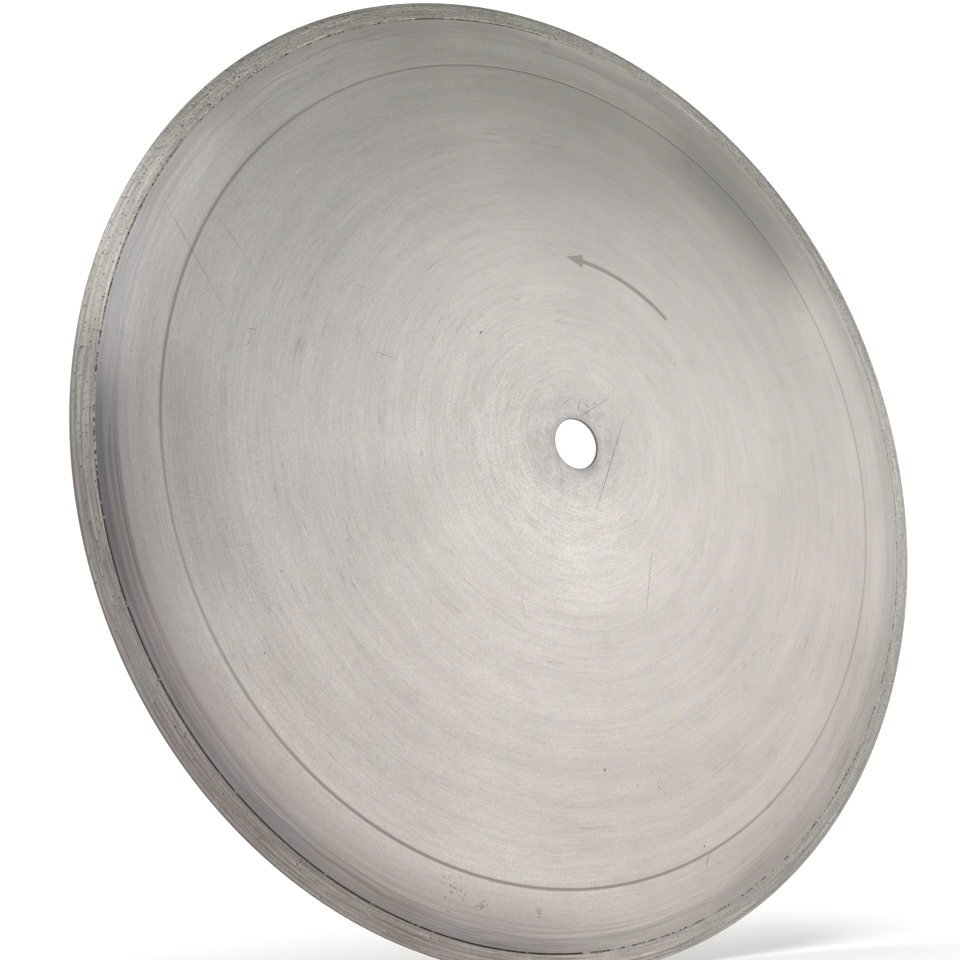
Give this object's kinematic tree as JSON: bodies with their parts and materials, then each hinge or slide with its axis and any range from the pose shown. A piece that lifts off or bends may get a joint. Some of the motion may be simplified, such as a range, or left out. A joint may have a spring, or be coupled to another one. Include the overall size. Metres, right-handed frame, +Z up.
{
  "type": "continuous-rim diamond blade",
  "caption": "Thin circular saw blade with a plain steel core, a central arbor bore and a continuous sintered diamond rim, for wet cutting of stone and tile.",
  "frame": {"origin": "centre of the arbor bore, midway between the two faces", "axes": "+Y along the blade's axis, away from the face with the direction arrow; +Z up with the blade upright as on a saw arbor"},
  "size_m": [0.3, 0.0016, 0.3],
  "materials": {
    "core_steel": "circular-ground steel with fine concentric grinding lines, faint cloudy stains and scratches",
    "braze_metal": "dark, oxidised and pitted brazing alloy, recessed in the seam",
    "sintered_rim": "matt sintered bond with exposed grit, pits and concentric wear streaks behind the grit"
  },
  "bodies": {
    "root": {"steel_core": "core_steel", "braze_joint": "braze_metal", "diamond_rim": "sintered_rim"}
  },
  "joints": []
}
